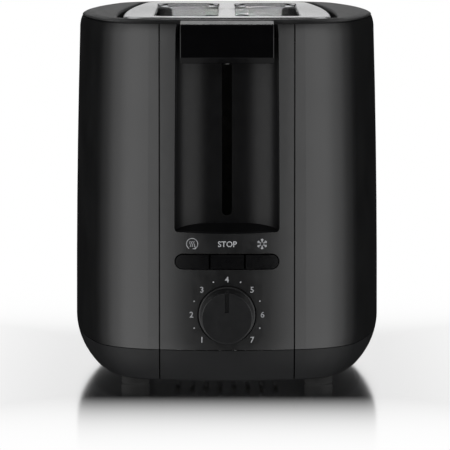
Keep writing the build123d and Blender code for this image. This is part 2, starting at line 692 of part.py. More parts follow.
def bread_guide(x, away):
    """Wire grille that centres the bread: upright wires with splayed tops on two rails."""
    grille = None
    wire, rail = 0.8, 1.0
    for z in GUIDE_RAILS:
        bar = rod(rail, (x + away * 1.6, CHASSIS_FRONT - 2.5, z), (x + away * 1.6, CHASSIS_BACK + 2.5, z))
        grille = bar if grille is None else grille + bar
    pitch = 13.0
    for step in range(13):
        y = SLOT_MID + (step - 6) * pitch
        upright = rod(wire, (x, y, GUIDE_LOW), (x, y, GUIDE_HIGH - 8))
        upright += Pos(x, y, GUIDE_HIGH - 8) * Sphere(wire)
        upright += rod(wire, (x, y, GUIDE_HIGH - 8), (x + away * 1.8, y, GUIDE_HIGH))
        grille += upright
    return grille


def crumb_deflector(side):
    """Sloping sheet that sends crumbs to the tray."""
    low = (side * (TRAY_HALF - 1.0), 36.2)
    high = (side * (CHASSIS_HALF - 3.0), 50.0)
    down = 0.6
    outline = Polyline(low, high, (high[0], high[1] - down), (low[0], low[1] - down), close=True)
    length = CHASSIS_BACK - CHASSIS_FRONT - 0.2
    face = Pos(0, CHASSIS_BACK - 0.1, 0) * (Plane.XZ * make_face(outline))
    return extrude(face, length, dir=(0, -1, 0))


# ---- Controls ---------------------------------------------------------------------------------------------


def button_cap(x0, x1):
    """One button: a bulged cap with a stem towards its switch. The outer ends are round."""
    z, height = BUTTON_Z, BUTTON_BAR_HEIGHT - 2 * BUTTON_CLEARANCE
    half = BUTTON_BAR_HALF - BUTTON_CLEARANCE
    y0, y1 = -HALF_LENGTH - 4, -HALF_LENGTH + 6
    bar = pill(half, height, y0, y1, z)
    bulge = 9.0
    front = Pos(0, -HALF_LENGTH - 1.4 + bulge, z) * Rot(0, 90, 0) * Cylinder(bulge, 80)
    behind = box(-40, 40, -HALF_LENGTH + 2, y1, z - 10, z + 10)
    cap = bar & (front + behind) & box(x0, x1, y0, y1, z - 10, z + 10)
    cap &= oval(-1.4, z - 10, z + 10)
    middle = (max(x0, -half) + min(x1, half)) / 2
    return cap + box(middle - 2.5, middle + 2.5, y1 - 1, BOARD_FRONT - 4.0 - BUTTON_TRAVEL - 0.2, z - 1.5, z + 1.5)


def button_guide():
    """Bar behind the buttons that their stems slide through."""
    y0, y1 = -HALF_LENGTH + 8.0, -HALF_LENGTH + 10.5
    bar = box(-31, 31, y0, y1, BUTTON_Z - 5, BUTTON_Z + 5)
    for x0, x1 in button_spans():
        middle = (x0 + x1) / 2
        bar -= box(middle - 2.8, middle + 2.8, y0 - 1, y1 + 1, BUTTON_Z - 1.8, BUTTON_Z + 1.8)
    return bar


def button_spans():
    """Left and right limit of each button."""
    half = BUTTON_BAR_HALF - BUTTON_CLEARANCE
    left, right = BUTTON_SPLITS
    gap = 0.5
    return [(-half, left - gap), (left + gap, right - gap), (right + gap, half)]


def browning_knob():
    """Knob with a thin skirt, a tapering grip, and a pointer groove at twelve o'clock."""
    back = KNOB_SEAT - 0.4
    skirt_front = back - 2.2
    outline = Polyline(
        (0, back),
        (R_KNOB_SKIRT, back),
        (R_KNOB_SKIRT, skirt_front),
        (R_KNOB_BACK, skirt_front - 0.5),
        (R_KNOB_FACE, KNOB_FACE),
        (0, KNOB_FACE),
        close=True,
    )
    knob = revolve(make_face(outline), Axis.Y)
    knob = fillet(knob.edges().filter_by(GeomType.CIRCLE).sort_by(Axis.Y)[0], 0.8)
    groove = box(-1.1, 1.1, KNOB_FACE - 1, KNOB_FACE + 1.1, 3.2, 20)
    knob -= groove
    knob -= rod(R_SHAFT + 0.01, (0, back + 1, 0), (0, KNOB_FACE + 6, 0))
    knob -= rod(R_KNOB_BACK - 3, (0, back + 1, 0), (0, back - 9, 0)) - rod(R_SHAFT + 2, (0, back + 2, 0), (0, back - 10, 0))
    return Pos(0, 0, DIAL_Z) * knob


def knob_shaft():
    """Flatted metal shaft of the browning control."""
    shaft = rod(R_SHAFT, (0, KNOB_FACE + 6.5, DIAL_Z), (0, BOARD_FRONT - 1.5, DIAL_Z))
    return shaft


def browning_control():
    """Rotary control on the board, with a threaded collar round the shaft."""
    body = box(-8, 8, BOARD_FRONT - 8, BOARD_FRONT, DIAL_Z - 8, DIAL_Z + 8)
    body += rod(4.6, (0, BOARD_FRONT - 11, DIAL_Z), (0, BOARD_FRONT - 7, DIAL_Z))
    body -= rod(R_SHAFT + 0.06, (0, BOARD_FRONT - 12, DIAL_Z), (0, BOARD_FRONT - 1.4, DIAL_Z))
    return body


def control_board():
    """Circuit board with mounting holes."""
    board = box(-BOARD_HALF, BOARD_HALF, BOARD_FRONT, BOARD_BACK, BOARD_LOW, BOARD_HIGH)
    for x in (-BOARD_SCREW_X, BOARD_SCREW_X):
        for z in (BOARD_LOW + 5, BOARD_HIGH - 5):
            board -= rod(1.8, (x, BOARD_FRONT - 1, z), (x, BOARD_BACK + 1, z))
    return board


def tact_switches():
    """Three push switches on the board, behind the buttons."""
    switches = None
    for x0, x1 in button_spans():
        middle = (x0 + x1) / 2
        body = box(middle - 3, middle + 3, BOARD_FRONT - 3, BOARD_FRONT, BUTTON_Z - 3, BUTTON_Z + 3)
        body += rod(1.6, (middle, BOARD_FRONT - 4, BUTTON_Z), (middle, BOARD_FRONT - 2, BUTTON_Z))
        switches = body if switches is None else switches + body
    return switches


def magnet_core():
    """U-shaped core whose two poles face the armature."""
    core = box(8, 20, BOARD_BACK, -108, 42, 45)
    core += box(8, 10.5, BOARD_BACK + 1, -109, 44, MAGNET_TOP)
    core += box(17.5, 20, BOARD_BACK + 1, -109, 44, MAGNET_TOP)
    return core


def magnet_coil():
    """Copper winding between the poles, on its bobbin."""
    y = (BOARD_BACK - 108) / 2
    coil = rod(3.2, (14, y, 45.2), (14, y, MAGNET_TOP - 2))
    for z in (45.2, MAGNET_TOP - 3.2):
        coil += rod(3.4, (14, y, z), (14, y, z + 1.2))
    return coil


def power_switch():
    """Contact block that the carriage closes at the bottom of its travel."""
    return box(26, 38, BOARD_BACK, BOARD_BACK + 9, 60, 76)


def switch_contacts():
    """Two brass leaves on the contact block."""
    leaves = None
    for x in (29, 35):
        leaf = box(x - 1.5, x + 1.5, BOARD_BACK + 9, BOARD_BACK + 9.4, 62, 84)
        leaf += box(x - 1.5, x + 1.5, BOARD_BACK + 9, BOARD_BACK + 12, 83.6, 84)
        leaves = leaf if leaves is None else leaves + leaf
    return leaves


def terminal_block():
    """Three-way mains terminal on the base floor, near the cord inlet."""
    floor = BASE_BOTTOM + WALL
    block = box(46, 58, 32, 62, floor, floor + 11)
    for y in (37, 47, 57):
        block -= rod(2.2, (45, y, floor + 5.5), (59, y, floor + 5.5))
        block -= rod(1.8, (52, y, floor + 5.5), (52, y, floor + 12))
    return block


# ---- Tray, inlet, fasteners -------------------------------------------------------------------------------


def crumb_tray():
    """Shallow folded tray."""
    back = HALF_LENGTH - 8
    tray = box(-TRAY_HALF, TRAY_HALF, TRAY_FRONT, back, TRAY_FLOOR, TRAY_TOP)
    edge = 0.7
    hollow = box(-TRAY_HALF + edge, TRAY_HALF - edge, TRAY_FRONT + edge, back - edge, TRAY_FLOOR + edge, TRAY_TOP + 1)
    return tray - hollow


def tray_handle():
    """Plastic front of the tray, flush with the rear panel, with a finger lip."""
    wall = shell_ring(0, WALL, SEAM, SHELL_TOP)
    face = wall & box(-TRAY_HALF, TRAY_HALF, 100, 160, SEAM + 0.6, TRAY_FACE_HIGH)
    block = box(-TRAY_HALF + 1, TRAY_HALF - 1, HALF_LENGTH - 8, HALF_LENGTH - 1.5, TRAY_FLOOR, TRAY_TOP + 2)
    face += block & oval(1.2, 0, 60)
    lip = box(-16, 16, HALF_LENGTH - 3, HALF_LENGTH + 0.6, TRAY_FACE_HIGH - 3, TRAY_FACE_HIGH - 0.6)
    return face + lip


def cord_gland():
    """Flanged bush in the rear panel that the mains cord passes through."""
    outside = GLAND_FACE - 2.6
    gland = rod(R_GLAND, (GLAND_X, outside - 8, GLAND_Z), (GLAND_X, outside + 1, GLAND_Z))
    gland += rod(R_GLAND + 2.2, (GLAND_X, GLAND_FACE - 1.6, GLAND_Z), (GLAND_X, GLAND_FACE, GLAND_Z))
    gland += rod(R_GLAND + 1.6, (GLAND_X, outside - 8, GLAND_Z), (GLAND_X, outside - 5.2, GLAND_Z))
    return gland - rod(R_GLAND_BORE, (GLAND_X, outside - 12, GLAND_Z), (GLAND_X, outside + 6, GLAND_Z))


def base_screws():
    """Four screws through the base bosses into the chassis flanges."""
    screws = None
    for x in (-BOSS_X, BOSS_X):
        for y in (BOSS_FRONT, BOSS_BACK):
            head = rod(R_SCREW_HEAD, (x, y, BASE_BOTTOM + 0.4), (x, y, BASE_BOTTOM + WALL))
            screw = head + rod(R_SCREW, (x, y, BASE_BOTTOM + 2), (x, y, CHASSIS_LOW + 4))
            screw -= box(x - 2.4, x + 2.4, y - 0.4, y + 0.4, 0, BASE_BOTTOM + 1.4)
            screw -= box(x - 0.4, x + 0.4, y - 2.4, y + 2.4, 0, BASE_BOTTOM + 1.4)
            screws = screw if screws is None else screws + screw
    return screws


def guide_rod():
    """Steel rod that the carriage slides on, with a foot that stands on the base floor."""
    floor = BASE_BOTTOM + WALL
    bar = rod(R_ROD, (ROD_X, ROD_Y, floor), (ROD_X, ROD_Y, CHASSIS_HIGH + 0.6))
    return bar + rod(4.5, (ROD_X, ROD_Y, floor), (ROD_X, ROD_Y, floor + 2))


# ---- Write every node -------------------------------------------------------------------------------------


def nodes():
    """Each node's name and its shape."""
    left, right = side_shells()
    pan, front_apron, rear_apron = base_parts()
    found = {
        "left_side_shell": left,
        "right_side_shell": right,
        "front_panel": front_panel(),
        "lever_channel": lever_channel(),
        "rear_panel": rear_panel(),
        "base_pan": pan,
        "front_base_apron": front_apron,
        "rear_base_apron": rear_apron,
        "top_rim": top_rim(),
        "top_plate": top_plate(),
        "lever_handle": lever_handle(),
        "carriage_bracket": carriage_bracket(),
        "carriage_bush": carriage_bush(),
        "armature": armature(),
        "bread_lifter_left": bread_lifter(-SLOT_X),
        "bread_lifter_right": bread_lifter(SLOT_X),
        "return_spring": return_spring(),
        "guide_rod": guide_rod(),
        "chassis_front_plate": chassis_front_plate(),
        "chassis_rear_plate": chassis_plate(CHASSIS_BACK, 1),
        "reflector_left": reflector(-1),
        "reflector_right": reflector(1),
        "heater_board_left": heater_board(-HEATER_X),
        "heater_board_centre": heater_board(0),
        "heater_board_right": heater_board(HEATER_X),
        "heater_winding_left": heater_winding(-HEATER_X, (1,)),
        "heater_winding_centre": heater_winding(0, (-1, 1)),
        "heater_winding_right": heater_winding(HEATER_X, (-1,)),
        "bread_guide_left_outer": bread_guide(-GUIDE_OUT, -1),
        "bread_guide_left_inner": bread_guide(-GUIDE_IN, 1),
        "bread_guide_right_inner": bread_guide(GUIDE_IN, -1),
        "bread_guide_right_outer": bread_guide(GUIDE_OUT, 1),
        "crumb_deflector_left": crumb_deflector(-1),
        "crumb_deflector_right": crumb_deflector(1),
        "button_guide": button_guide(),
        "browning_knob": browning_knob(),
        "knob_shaft": knob_shaft(),
        "browning_control": browning_control(),
        "control_board": control_board(),
        "tact_switches": tact_switches(),
        "magnet_core": magnet_core(),
        "magnet_coil": magnet_coil(),
        "power_switch": power_switch(),
        "switch_contacts": switch_contacts(),
        "terminal_block": terminal_block(),
        "crumb_tray": crumb_tray(),
        "tray_handle": tray_handle(),
        "cord_gland": cord_gland(),
        "base_screws": base_screws(),
    }
    for name, (x0, x1) in zip(("reheat_button", "stop_button", "defrost_button"), button_spans()):
        found[name] = button_cap(x0, x1)
    for name, (x, y) in foot_places().items():
        found[name] = foot(x, y)
    return found


os.makedirs("parts", exist_ok=True)
for name, shape in nodes().items():
    export_step(Pos(0, BODY_SHIFT, 0) * shape, f"parts/{name}.step")
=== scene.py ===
"""Pop-up toaster: materials, printed legends, coil spring and studio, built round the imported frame."""

import json
import math

import bpy
import bmesh
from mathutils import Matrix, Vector


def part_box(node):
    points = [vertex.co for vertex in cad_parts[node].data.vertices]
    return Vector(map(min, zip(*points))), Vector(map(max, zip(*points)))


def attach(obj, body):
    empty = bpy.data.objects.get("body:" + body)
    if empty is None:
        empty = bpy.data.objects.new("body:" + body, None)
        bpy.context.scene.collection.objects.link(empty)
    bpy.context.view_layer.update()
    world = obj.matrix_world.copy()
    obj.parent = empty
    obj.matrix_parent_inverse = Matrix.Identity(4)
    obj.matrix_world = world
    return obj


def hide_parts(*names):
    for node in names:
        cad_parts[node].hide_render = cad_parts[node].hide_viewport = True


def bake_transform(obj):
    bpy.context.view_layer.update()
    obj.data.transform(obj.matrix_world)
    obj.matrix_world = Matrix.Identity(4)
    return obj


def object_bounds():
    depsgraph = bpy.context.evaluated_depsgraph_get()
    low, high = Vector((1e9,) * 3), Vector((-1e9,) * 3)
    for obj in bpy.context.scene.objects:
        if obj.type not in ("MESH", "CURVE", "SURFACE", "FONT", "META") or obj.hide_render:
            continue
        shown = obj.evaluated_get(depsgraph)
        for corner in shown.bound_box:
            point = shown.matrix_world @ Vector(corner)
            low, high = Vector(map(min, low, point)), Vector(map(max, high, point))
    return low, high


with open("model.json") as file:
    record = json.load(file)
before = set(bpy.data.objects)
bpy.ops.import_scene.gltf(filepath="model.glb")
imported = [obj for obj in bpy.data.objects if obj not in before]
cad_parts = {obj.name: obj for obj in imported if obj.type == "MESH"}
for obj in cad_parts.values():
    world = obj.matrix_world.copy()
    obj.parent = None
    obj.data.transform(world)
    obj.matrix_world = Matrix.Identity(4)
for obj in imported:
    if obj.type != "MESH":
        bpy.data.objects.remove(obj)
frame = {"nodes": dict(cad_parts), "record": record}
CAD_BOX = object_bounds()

MM = 0.001
PANEL = frame["nodes"]["front_panel"]
PANEL_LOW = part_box("front_panel")[0]
KNOB_LOW, KNOB_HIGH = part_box("browning_knob")
DIAL = (KNOB_LOW + KNOB_HIGH) / 2
CENTRE = (CAD_BOX[0] + CAD_BOX[1]) / 2

# ---- Shader helpers ------------------------------------------------------------------------------


class Shader:
    """A material with a Principled shader, and short calls for the nodes that the finishes share."""

    def __init__(self, name, colour, roughness, **sockets):
        self.material = bpy.data.materials.new(name)
        self.material.use_nodes = True
        self.tree = self.material.node_tree
        self.principled = self.tree.nodes["Principled BSDF"]
        self.set("Base Color", (*colour, 1.0))
        self.set("Roughness", roughness)
        for socket, value in sockets.items():
            self.set(socket.replace("_", " ").title().replace("Ior", "IOR"), value)
        self.normal = None

    def set(self, socket, value):
        self.principled.inputs[socket].default_value = value

    def node(self, kind, **values):
        node = self.tree.nodes.new(kind)
        for name, value in values.items():
            setattr(node, name, value)
        return node

    def link(self, output, target):
        self.tree.links.new(output, target)

    def place(self, scale):
        """Object coordinates, in metres, stretched by scale."""
        mapping = self.node("ShaderNodeMapping")
        mapping.inputs["Scale"].default_value = scale
        self.link(self.node("ShaderNodeTexCoord").outputs["Object"], mapping.inputs["Vector"])
        return mapping.outputs["Vector"]

    def noise(self, size, detail=2.0, stretch=(1, 1, 1)):
        """Noise whose features are about size metres across, stretched along the axes."""
        texture = self.node("ShaderNodeTexNoise")
        texture.inputs["Scale"].default_value = 1.0
        texture.inputs["Detail"].default_value = detail
        self.link(self.place([1 / (size * s) for s in stretch]), texture.inputs["Vector"])
        return texture.outputs["Fac"]

    def cells(self, size, stretch=(1, 1, 1)):
        """A random grey for each cell about size metres across."""
        texture = self.node("ShaderNodeTexVoronoi")
        texture.inputs["Scale"].default_value = 1.0
        self.link(self.place([1 / (size * s) for s in stretch]), texture.inputs["Vector"])
        return texture.outputs["Color"]

    def spread(self, value, low, high):
        """Maps a texture's middle range to low and high."""
        node = self.node("ShaderNodeMapRange")
        node.inputs["From Min"].default_value = 0.3
        node.inputs["From Max"].default_value = 0.7
        node.inputs["To Min"].default_value = low
        node.inputs["To Max"].default_value = high
        self.link(value, node.inputs["Value"])
        return node.outputs["Result"]

    def rough(self, value, low, high):
        """Varies the roughness with a texture."""
        self.link(self.spread(value, low, high), self.principled.inputs["Roughness"])
        return self

    def tint(self, value, dark, light):
        """Varies the base colour with a texture."""
        ramp = self.node("ShaderNodeValToRGB")
        ramp.color_ramp.elements[0].color = (*dark, 1)
        ramp.color_ramp.elements[0].position = 0.3
        ramp.color_ramp.elements[1].color = (*light, 1)
        ramp.color_ramp.elements[1].position = 0.7
        self.link(value, ramp.inputs["Fac"])
        self.link(ramp.outputs["Color"], self.principled.inputs["Base Color"])
        return self

    def bump(self, value, height, strength=1.0):
        """Adds relief of the given height in metres."""
        node = self.node("ShaderNodeBump")
        node.inputs["Distance"].default_value = height
        node.inputs["Strength"].default_value = strength
        self.link(value, node.inputs["Height"])
        if self.normal is not None:
            self.link(self.normal, node.inputs["Normal"])
        self.normal = node.outputs["Normal"]
        self.link(self.normal, self.principled.inputs["Normal"])
        return self


def shade(colour, factor):
    """A colour made lighter or darker."""
    return tuple(min(1.0, c * factor) for c in colour)


# ---- Finishes ------------------------------------------------------------------------------------

CHARCOAL = (0.0042, 0.0044, 0.0049)
GLOSS_BLACK = (0.0030, 0.0030, 0.0034)
DEEP_BLACK = (0.0045, 0.0045, 0.005)
STEEL = (0.62, 0.622, 0.63)


def painted_shell():
    """Satin charcoal paint with fine flake and a slight orange peel."""
    s = Shader("painted_shell", CHARCOAL, 0.34, specular_ior_level=1.0)
    s.tint(s.noise(0.00035, 1), shade(CHARCOAL, 0.85), shade(CHARCOAL, 1.2))
    s.rough(s.noise(0.03, 4), 0.32, 0.37)
    return s.bump(s.noise(0.0014, 3), 0.000004).bump(s.noise(0.00018, 1), 0.000002)


def moulded(name, colour, roughness, grain=0.0006, height=0.00001, **sockets):
    """Moulded plastic with an eroded grain and faint flow variation."""
    s = Shader(name, colour, roughness, **sockets)
    s.tint(s.noise(0.012, 5), shade(colour, 0.9), shade(colour, 1.12))
    s.rough(s.noise(0.004, 5), roughness - 0.03, roughness + 0.04)
    return s.bump(s.noise(grain, 4), height)


def rolled_steel(name, colour, roughness, grain_axis, anisotropy=0.6):
    """Brushed or drawn metal: long fine scratches along one axis, 0 for X to 2 for Z."""
    s = Shader(name, colour, roughness, metallic=1.0, anisotropic=anisotropy)
    stretch = [1.0, 1.0, 1.0]
    stretch[grain_axis] = 90.0
    brushing = s.noise(0.00022, 3, stretch)
    s.tint(brushing, shade(colour, 0.95), shade(colour, 1.05))
    s.rough(s.noise(0.0006, 3, stretch), roughness - 0.03, roughness + 0.04)
    return s.bump(brushing, 0.0000004)


def sheet_metal(name, colour, roughness):
    """Zinc or aluminium coated sheet with a faint spangle."""
    s = Shader(name, colour, roughness, metallic=1.0)
    s.tint(s.cells(0.004), shade(colour, 0.88), shade(colour, 1.05))
    s.rough(s.noise(0.002, 4), roughness - 0.05, roughness + 0.08)
    return s.bump(s.noise(0.0006, 4), 0.000003)


def mica():
    """Flaky mineral card."""
    colour = (0.50, 0.42, 0.29)
    s = Shader("mica", colour, 0.5, coat_weight=0.3, coat_roughness=0.3)
    s.tint(s.noise(0.006, 6, (1, 2, 1)), shade(colour, 0.6), shade(colour, 1.2))
    return s.rough(s.cells(0.003), 0.35, 0.6).bump(s.noise(0.002, 6), 0.00002)


def circuit_board():
    """Solder mask over copper tracks."""
    green = (0.012, 0.11, 0.045)
    s = Shader("circuit_board", green, 0.35, coat_weight=0.4, coat_roughness=0.15)
    s.tint(s.cells(0.004, (1, 1, 0.6)), shade(green, 0.75), shade(green, 1.35))
    return s.bump(s.cells(0.004, (1, 1, 0.6)), 0.00003)


FINISHES = {
    "painted_shell": painted_shell,
    "panel_plastic": lambda: moulded(
        "panel_plastic", CHARCOAL, 0.35, 0.0005, 0.000004, specular_ior_level=1.0
    ),
    "base_plastic": lambda: moulded(
        "base_plastic", (0.0115, 0.0119, 0.0127), 0.5, specular_ior_level=0.35
    ),
    "rim_plastic": lambda: moulded(
        "rim_plastic", (0.0075, 0.0078, 0.0085), 0.42, 0.0005, 0.000012, specular_ior_level=0.3
    ),
    "lever_plastic": lambda: moulded("lever_plastic", GLOSS_BLACK, 0.14, 0.002, 0.000003),
    "button_plastic": lambda: moulded(
        "button_plastic", DEEP_BLACK, 0.28, 0.0005, 0.000004, specular_ior_level=0.25
    ),
    "knob_plastic": lambda: moulded("knob_plastic", (0.011, 0.0113, 0.012), 0.4, 0.0004, 0.000008),
    "inner_plastic": lambda: moulded("inner_plastic", DEEP_BLACK, 0.36, specular_ior_level=0.35),
    "terminal_plastic": lambda: moulded("terminal_plastic", (0.6, 0.58, 0.5), 0.45),
    "foot_rubber": lambda: moulded("foot_rubber", (0.015, 0.015, 0.015), 0.8, 0.0008, 0.00003),
    "top_steel": lambda: rolled_steel("top_steel", STEEL, 0.2, 0),
    "wire_steel": lambda: rolled_steel("wire_steel", (0.55, 0.55, 0.55), 0.28, 2, 0.0),
    "spring_steel": lambda: rolled_steel("spring_steel", (0.34, 0.34, 0.35), 0.35, 2, 0.0),
    "plated_steel": lambda: sheet_metal("plated_steel", (0.50, 0.50, 0.49), 0.38),
    "aluminised_steel": lambda: sheet_metal("aluminised_steel", (0.58, 0.58, 0.57), 0.42),
    "iron_core": lambda: sheet_metal("iron_core", (0.17, 0.17, 0.18), 0.55),
    "brass": lambda: sheet_metal("brass", (0.70, 0.50, 0.22), 0.3),
    "copper": lambda: rolled_steel("copper", (0.60, 0.24, 0.10), 0.3, 0),
    "nichrome": lambda: sheet_metal("nichrome", (0.24, 0.20, 0.18), 0.5),
    "mica": mica,
    "circuit_board": circuit_board,
    "legend_print": lambda: moulded("legend_print", (0.55, 0.56, 0.58), 0.5, 0.0003, 0.000004),
}
MATERIALS = {name: make().material for name, make in FINISHES.items()}


def dress_cad_nodes():
    """Gives every CAD node its finish, and rounds the front panel's sharp edges."""
    for part in frame["record"]["subparts"]:
        node = frame["nodes"][part["node"]]
        node.data.materials.clear()
        node.data.materials.append(MATERIALS[part["material_slot"]])
    soften = PANEL.modifiers.new("edges", "BEVEL")
    soften.width = 0.35 * MM
    soften.segments = 2
    soften.limit_method = "ANGLE"
    soften.angle_limit = math.radians(40)


# ---- Printed legends -----------------------------------------------------------------------------

INK = 0.04 * MM  # half the thickness of a printed mark
ICON_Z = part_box("reheat_button")[1].z + 6.0 * MM
CAPITAL_SHARE = 0.7  # height of a capital in its type size
DIAL_RADIUS = 19.7 * MM
DIAL_STEP = 45


def print_on_panel(piece):
    """Lays a flat piece, drawn in X and Z with its thickness along Y, on the front panel's surface."""
    for vertex in piece.data.vertices:
        x, thick, z = vertex.co
        hit, point, _, _ = PANEL.ray_cast(Vector((x, PANEL_LOW.y - 0.05, z)), Vector((0, 1, 0)))
        if not hit:
            raise ValueError(f"{piece.name} runs off the front panel")
        vertex.co = (x, point.y + thick, z)
    piece.data.materials.append(MATERIALS["legend_print"])
    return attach(piece, "root")


def lettering(name, text, height, x, z):
    """Generic lettering, centred on x and z."""
    curve = bpy.data.curves.new(name, "FONT")
    curve.body = text
    curve.size = height / CAPITAL_SHARE
    curve.align_x = "CENTER"
    curve.align_y = "CENTER"
    curve.extrude = INK
    curve.offset = 0.06 * MM
    curve.resolution_u = 4
    flat = bpy.data.objects.new(name + "_flat", curve)
    mesh = bpy.data.meshes.new_from_object(flat)
    bpy.data.objects.remove(flat)
    piece = bpy.data.objects.new(name, mesh)
    bpy.context.scene.collection.objects.link(piece)
    low = min(v.co.y for v in mesh.vertices)
    high = max(v.co.y for v in mesh.vertices)
    for vertex in mesh.vertices:
        flat_x, flat_y, thick = vertex.co
        vertex.co = (x + flat_x, -thick, z + flat_y - (low + high) / 2)
    return print_on_panel(piece)


def stroke_piece(name, strokes, width, x, z):
    """Flat lines of one width: each stroke is a list of points round x and z."""
    build = bmesh.new()
    for points in strokes:
        for start, end in zip(points, points[1:]):
            a, b = Vector((*start, 0)), Vector((*end, 0))
            along = (b - a).normalized() * width / 2
            across = Vector((-along.y, along.x, 0))
            a, b = a - along * 0.6, b + along * 0.6
            loop = [a - across, b - across, b + across, a + across]
            low = [build.verts.new((x + p.x, INK, z + p.y)) for p in loop]
            high = [build.verts.new((x + p.x, -INK, z + p.y)) for p in loop]
            build.faces.new(low[::-1])
            build.faces.new(high)
            for i in range(4):
                j = (i + 1) % 4
                build.faces.new((low[i], low[j], high[j], high[i]))
    mesh = bpy.data.meshes.new(name)
    build.to_mesh(mesh)
    build.free()
    piece = bpy.data.objects.new(name, mesh)
    bpy.context.scene.collection.objects.link(piece)
    return print_on_panel(piece)


def arc(radius, start, stop, steps=24):
    """Points on an arc round the origin, in degrees from +X."""
    angles = [math.radians(start + (stop - start) * i / steps) for i in range(steps + 1)]
    return [(radius * math.cos(a), radius * math.sin(a)) for a in angles]


def dot(name, radius, x, z):
    """A round printed dot."""
    build = bmesh.new()
    disc = {"radius1": radius, "radius2": radius, "depth": 2 * INK}
    bmesh.ops.create_cone(build, cap_ends=True, segments=20, **disc)
    mesh = bpy.data.meshes.new(name)
    build.to_mesh(mesh)
    build.free()
    for vertex in mesh.vertices:
        flat_x, flat_y, thick = vertex.co
        vertex.co = (x + flat_x, -thick, z + flat_y)
    piece = bpy.data.objects.new(name, mesh)
    bpy.context.scene.collection.objects.link(piece)
    return print_on_panel(piece)


def dial_scale():
    """Numbers 1 to 7 round the knob, with 4 at the top and a dot between each two."""
    for number in range(1, 8):
        angle = math.radians((number - 4) * DIAL_STEP)
        x, z = DIAL_RADIUS * math.sin(angle), DIAL.z + DIAL_RADIUS * math.cos(angle)
        lettering(f"dial_number_{number}", str(number), 3.2 * MM, x, z)
        if number < 7:
            middle = angle + math.radians(DIAL_STEP / 2)
            x, z = DIAL_RADIUS * math.sin(middle), DIAL.z + DIAL_RADIUS * math.cos(middle)
            dot(f"dial_dot_{number}", 0.45 * MM, x, z)


def reheat_icon(x):
    """Open ring with an arrow head, round three rising waves of heat."""
    radius = 3.1 * MM
    ring = arc(radius, -60, 235, 40)
    tip_x, tip_z = ring[0]
    head = [
        (tip_x - 1.1 * MM, tip_z + 0.1 * MM),
        (tip_x, tip_z),
        (tip_x + 0.2 * MM, tip_z + 1.2 * MM),
    ]
    waves = []
    for offset in (-1.1, 0.0, 1.1):
        wave = [
            (offset * MM + 0.28 * MM * math.sin(t / 12 * math.tau), (t / 12 - 0.5) * 2.8 * MM)
            for t in range(13)
        ]
        waves.append(wave)
    return stroke_piece("reheat_icon", [ring, head, *waves], 0.42 * MM, x, ICON_Z)


def defrost_icon(x):
    """Six thick forked arms round a small gap."""
    strokes = []
    for arm in range(6):
        angle = math.radians(90 + arm * 60)
        ux, uz = math.cos(angle), math.sin(angle)
        strokes.append([(r * MM * ux, r * MM * uz) for r in (1.0, 2.0, 2.7)])
        for turn in (-38, 38):
            side = angle + math.radians(turn)
            fork_x, fork_z = 1.8 * MM * ux, 1.8 * MM * uz
            end = (fork_x + 0.8 * MM * math.cos(side), fork_z + 0.8 * MM * math.sin(side))
            strokes.append([(fork_x, fork_z), end])
    return stroke_piece("defrost_icon", strokes, 0.55 * MM, x, ICON_Z)


def button_legends():
    """The mark above each button."""
    centres = {}
    for name in ("reheat_button", "stop_button", "defrost_button"):
        low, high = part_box(name)
        centres[name] = (low.x + high.x) / 2
    reheat_icon(centres["reheat_button"])
    lettering("stop_legend", "STOP", 3.1 * MM, centres["stop_button"], ICON_Z)
    defrost_icon(centres["defrost_button"])


# ---- Coil spring ---------------------------------------------------------------------------------


def return_spring():
    """Close-wound extension spring in place of its CAD envelope."""
    low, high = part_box("return_spring")
    x, y = (low.x + high.x) / 2, (low.y + high.y) / 2
    wire = 0.45 * MM
    radius = (high.x - low.x) / 2 - wire
    turns, steps = 22, 20
    hook = 3.5 * MM
    curve = bpy.data.curves.new("return_spring_coil", "CURVE")
    curve.dimensions = "3D"
    curve.bevel_depth = wire
    curve.bevel_resolution = 3
    spline = curve.splines.new("POLY")
    points = [(x, y, high.z)]
    body = high.z - low.z - 2 * hook
    for i in range(turns * steps + 1):
        angle = i / steps * math.tau
        z = high.z - hook - body * i / (turns * steps)
        points.append((x + radius * math.cos(angle), y + radius * math.sin(angle), z))
    points.append((x, y, low.z))
    spline.points.add(len(points) - 1)
    for point, place in zip(spline.points, points):
        point.co = (*place, 1)
    flat = bpy.data.objects.new("return_spring_curve", curve)
    mesh = bpy.data.meshes.new_from_object(flat)
    bpy.data.objects.remove(flat)
    coil = bpy.data.objects.new("return_spring_coil", mesh)
    bpy.context.scene.collection.objects.link(coil)
    mesh.materials.append(MATERIALS["spring_steel"])
    mesh.shade_smooth()
    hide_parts("return_spring")
    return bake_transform(coil)


# ---- Studio --------------------------------------------------------------------------------------

# Name, azimuth in degrees, width in metres, and radiance of the lights on each side.
SIDE_LIGHTS = (
    ("softbox", 49.5, 1.56, 1.24),
    ("wing", 87, 0.72, 0.68),
    ("far_wing", 112, 0.8, 0.13),
)
SIDE_ELEVATION, SIDE_DISTANCE, SIDE_HEIGHT = -8, 1.6, 2.6
RIGHT_POWER = 0.94
MIRROR_FADE, MIRROR_FALL = 0.077, 1.4  # metres from the toaster, and how sharply the mirror ends
CAMERA_DISTANCE, CAMERA_HEIGHT, CAMERA_TILT = 2.219, 0.305, 5.4
CAMERA_OFFSET = -0.0011


def emitter(name, colour, strength):
    """A material that only gives light."""
    material = bpy.data.materials.new(name)
    material.use_nodes = True
    tree = material.node_tree
    tree.nodes.clear()
    emission = tree.nodes.new("ShaderNodeEmission")
    emission.inputs["Color"].default_value = (*colour, 1)
    emission.inputs["Strength"].default_value = strength
    output = tree.nodes.new("ShaderNodeOutputMaterial")
    tree.links.new(emission.outputs[0], output.inputs["Surface"])
    return material


